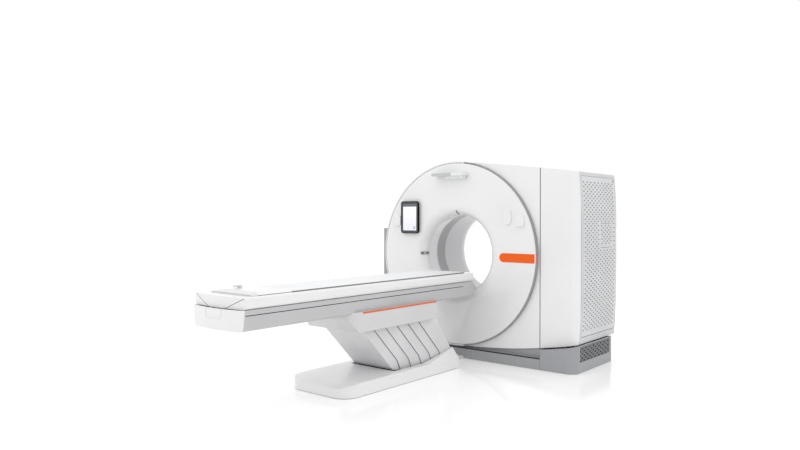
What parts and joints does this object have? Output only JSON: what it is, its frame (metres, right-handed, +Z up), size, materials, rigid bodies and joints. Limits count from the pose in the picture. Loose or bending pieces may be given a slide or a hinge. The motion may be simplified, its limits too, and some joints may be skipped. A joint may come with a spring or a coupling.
{
  "type": "ring scanner with patient table",
  "caption": "Ring-shaped medical scanner with a round bore, a perforated side door and a sliding patient top on a folding lift.",
  "frame": {"origin": "on the floor under the bore axis, at the middle of the gantry base frame", "axes": "+Z up, +X to the right seen from the table side, +Y away from the table along the bore axis"},
  "size_m": [2.108, 3.3997, 1.764],
  "materials": {
    "white_cover": "glossy",
    "table_white": "glossy",
    "grey_cover": "satin",
    "base_grey": "satin",
    "dark_trim": "satin",
    "dark_grille": "matte",
    "window_grey": "satin",
    "liner_grey": "satin",
    "orange": "glossy",
    "black_plastic": "glossy",
    "screen_glass": "glossy",
    "laser_glass": "glossy",
    "bolt_steel": "satin",
    "frame_paint": "satin",
    "stator_paint": "satin",
    "bearing_steel": "ground",
    "ball_steel": "polished",
    "drum_alloy": "machined",
    "tube_paint": "satin",
    "detector_alloy": "anodised",
    "module_paint": "satin",
    "slip_brass": "turned",
    "brush_plastic": "matte",
    "motor_iron": "painted",
    "pulley_alloy": "machined",
    "belt_rubber": "matte",
    "cabinet_zinc": "zinc",
    "lift_paint": "satin",
    "lamella_white": "satin",
    "mat_fabric": "satin",
    "duct_white": "satin"
  },
  "bodies": {
    "root": {"base_frame": "frame_paint", "base_plinth": "base_grey", "base_grille": "dark_grille", "cover_screws": "bolt_steel", "front_surround": "white_cover", "cabinet_cover": "white_cover", "rear_cover": "white_cover", "top_cover": "white_cover", "front_disc": "white_cover", "disc_trim_ring": "dark_trim", "scan_window": "window_grey", "rear_funnel": "liner_grey", "side_frame": "grey_cover", "left_side_cover": "grey_cover", "display_hood": "grey_cover", "orange_strip": "orange", "control_bezel": "dark_trim", "side_docks": "white_cover", "laser_windows": "laser_glass", "stator_frame": "stator_paint", "bearing_outer_race": "bearing_steel", "brush_block": "brush_plastic", "drive_motor": "motor_iron", "drive_belt": "belt_rubber", "power_cabinet": "cabinet_zinc", "table_base": "lift_paint", "pedestal_cover": "table_white", "lift_motor": "motor_iron", "cable_duct": "duct_white"},
    "rotor": {"rotor_drum": "drum_alloy", "bearing_inner_race": "bearing_steel", "bearing_balls": "ball_steel", "xray_tube": "tube_paint", "detector_arc": "detector_alloy", "high_voltage_generator": "module_paint", "slip_ring": "slip_brass"},
    "pulley": {"motor_pulley": "pulley_alloy"},
    "arm_front": {"lift_arm_front": "lift_paint"},
    "arm_rear": {"lift_arm_rear": "lift_paint"},
    "lamella_1_swing": {"lamella_1": "lamella_white"},
    "lamella_2_swing": {"lamella_2": "lamella_white"},
    "lamella_3_swing": {"lamella_3": "lamella_white"},
    "lamella_4_swing": {"lamella_4": "lamella_white"},
    "lamella_5_swing": {"lamella_5": "lamella_white"},
    "lamella_6_swing": {"lamella_6": "lamella_white"},
    "carriage": {"lift_carriage": "lift_paint", "carriage_housing": "table_white", "table_trough": "table_white", "foot_end_cap": "table_white"},
    "patient_top": {"tabletop": "table_white", "table_mat": "mat_fabric", "foot_cover": "table_white"},
    "knob": {"release_knob": "dark_trim"},
    "tablet": {"tablet_case": "black_plastic", "tablet_screen": "screen_glass"},
    "button_left": {"control_button_left": "black_plastic"},
    "button_right": {"control_button_right": "black_plastic"},
    "door": {"side_door": "grey_cover"},
    "hatch": {"service_hatch": "grey_cover"},
    "lock": {"door_lock": "dark_trim"}
  },
  "joints": [
    {"name": "gantry_spin", "type": "hinge", "parent": "root", "child": "rotor", "pos_m": [0, 0, 0.934], "axis": [0, 1, 0], "continuous": true},
    {"name": "pulley_spin", "type": "hinge", "parent": "root", "child": "pulley", "pos_m": [0.8, 0, 0.47], "axis": [0, 1, 0], "continuous": true},
    {"name": "table_lift", "type": "hinge", "parent": "root", "child": "arm_front", "pos_m": [0, -1.33, 0.13], "axis": [-1, 0, 0], "range_deg": [-30, 10]},
    {"name": "arm_rear_swing", "type": "hinge", "parent": "root", "child": "arm_rear", "pos_m": [0, -1, 0.13], "axis": [-1, 0, 0], "range_deg": [-30, 10]},
    {"name": "carriage_level", "type": "hinge", "parent": "arm_front", "child": "carriage", "pos_m": [0, -1.73, 0.53], "axis": [-1, 0, 0], "range_deg": [-10, 30]},
    {"name": "lamella_1_turn", "type": "hinge", "parent": "root", "child": "lamella_1_swing", "pos_m": [0, -1.475, 0.125], "axis": [-1, 0, 0], "range_deg": [-30, 10]},
    {"name": "lamella_2_turn", "type": "hinge", "parent": "root", "child": "lamella_2_swing", "pos_m": [0, -1.365, 0.125], "axis": [-1, 0, 0], "range_deg": [-30, 10]},
    {"name": "lamella_3_turn", "type": "hinge", "parent": "root", "child": "lamella_3_swing", "pos_m": [0, -1.237, 0.125], "axis": [-1, 0, 0], "range_deg": [-30, 10]},
    {"name": "lamella_4_turn", "type": "hinge", "parent": "root", "child": "lamella_4_swing", "pos_m": [0, -1.109, 0.125], "axis": [-1, 0, 0], "range_deg": [-30, 10]},
    {"name": "lamella_5_turn", "type": "hinge", "parent": "root", "child": "lamella_5_swing", "pos_m": [0, -0.981, 0.125], "axis": [-1, 0, 0], "range_deg": [-30, 10]},
    {"name": "lamella_6_turn", "type": "hinge", "parent": "root", "child": "lamella_6_swing", "pos_m": [0, -0.79, 0.125], "axis": [-1, 0, 0], "range_deg": [-30, 10]},
    {"name": "tabletop_slide", "type": "slide", "parent": "carriage", "child": "patient_top", "axis": [0, 1, 0], "range_m": [0, 1.6]},
    {"name": "knob_turn", "type": "hinge", "parent": "patient_top", "child": "knob", "pos_m": [-0.13, -2.65, 0.81], "axis": [0, 0, 1], "range_deg": [0, 90]},
    {"name": "tablet_lift_off", "type": "slide", "parent": "root", "child": "tablet", "axis": [0, -1, 0], "range_m": [0, 0.15]},
    {"name": "left_button_press", "type": "slide", "parent": "root", "child": "button_left", "axis": [-0.799, 0.6011, -0.0172], "range_m": [0, 0.001], "stiffness_N_per_m": 400},
    {"name": "right_button_press", "type": "slide", "parent": "root", "child": "button_right", "axis": [-0.799, 0.6011, -0.0172], "range_m": [0, 0.001], "stiffness_N_per_m": 400},
    {"name": "door_tilt", "type": "hinge", "parent": "root", "child": "door", "pos_m": [1.1521, 0.1, 0.294], "axis": [0, 1, 0], "range_deg": [0, 30]},
    {"name": "hatch_swing", "type": "hinge", "parent": "door", "child": "hatch", "pos_m": [1.18052, 0.2175, 1.0105], "axis": [0, 1, 0], "range_deg": [0, 100]},
    {"name": "lock_turn", "type": "hinge", "parent": "door", "child": "lock", "pos_m": [1.15752, 0.406, 1.578], "axis": [-1, 0, 0], "range_deg": [0, 90]}
  ],
  "couplings": [
    {"joint": "pulley_spin", "follows": "gantry_spin", "ratio": 11.7},
    {"joint": "arm_rear_swing", "follows": "table_lift", "ratio": 1},
    {"joint": "carriage_level", "follows": "table_lift", "ratio": -1},
    {"joint": "lamella_1_turn", "follows": "table_lift", "ratio": 1},
    {"joint": "lamella_2_turn", "follows": "table_lift", "ratio": 1},
    {"joint": "lamella_3_turn", "follows": "table_lift", "ratio": 1},
    {"joint": "lamella_4_turn", "follows": "table_lift", "ratio": 1},
    {"joint": "lamella_5_turn", "follows": "table_lift", "ratio": 1},
    {"joint": "lamella_6_turn", "follows": "table_lift", "ratio": 1}
  ]
}
